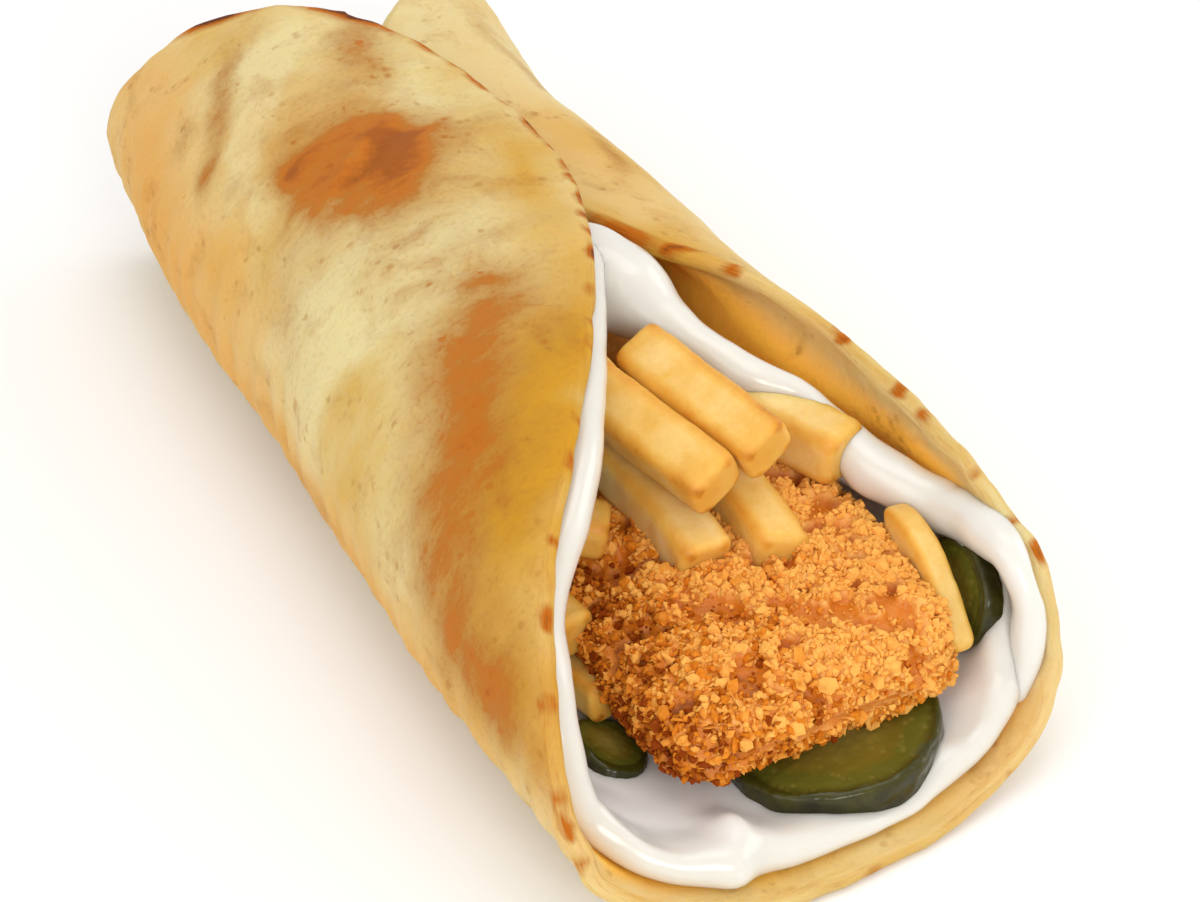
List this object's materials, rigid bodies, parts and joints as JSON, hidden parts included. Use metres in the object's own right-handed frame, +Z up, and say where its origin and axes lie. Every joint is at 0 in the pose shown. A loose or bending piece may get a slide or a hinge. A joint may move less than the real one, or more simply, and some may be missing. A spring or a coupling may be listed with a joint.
{
  "type": "rolled potato sandwich",
  "caption": "Flatbread rolled round potato fries, a breaded cutlet, pickle slices and white garlic sauce, open at the mouth and lying on its underside.",
  "frame": {"origin": "middle of the sandwich's outline seen from above, on the surface it lies on", "axes": "+Z up, +Y along the roll from the open mouth to the far end, +X to the right for someone who looks into the mouth"},
  "size_m": [0.0901, 0.2118, 0.0556],
  "materials": {
    "flatbread": "soft baked flatbread, pale cream with toasted spots",
    "garlic_sauce": "smooth glossy white sauce",
    "crumb_coating": "coarse fried crumbs, golden",
    "potato_fry": "fried potato, slightly oily, browner at the edges",
    "pickled_cucumber": "wet pickled cucumber, dark green skin round olive flesh"
  },
  "bodies": {
    "root": {"flatbread": "flatbread", "garlic_sauce": "garlic_sauce", "breaded_cutlet": "crumb_coating", "fry_1": "potato_fry", "fry_2": "potato_fry", "fry_3": "potato_fry", "fry_4": "potato_fry", "fry_5": "potato_fry", "fry_6": "potato_fry", "fry_7": "potato_fry", "fry_8": "potato_fry", "fry_9": "potato_fry", "pickle_slice_1": "pickled_cucumber", "pickle_slice_2": "pickled_cucumber", "pickle_slice_3": "pickled_cucumber", "pickle_slice_4": "pickled_cucumber", "fries_heap": "potato_fry"}
  },
  "joints": []
}
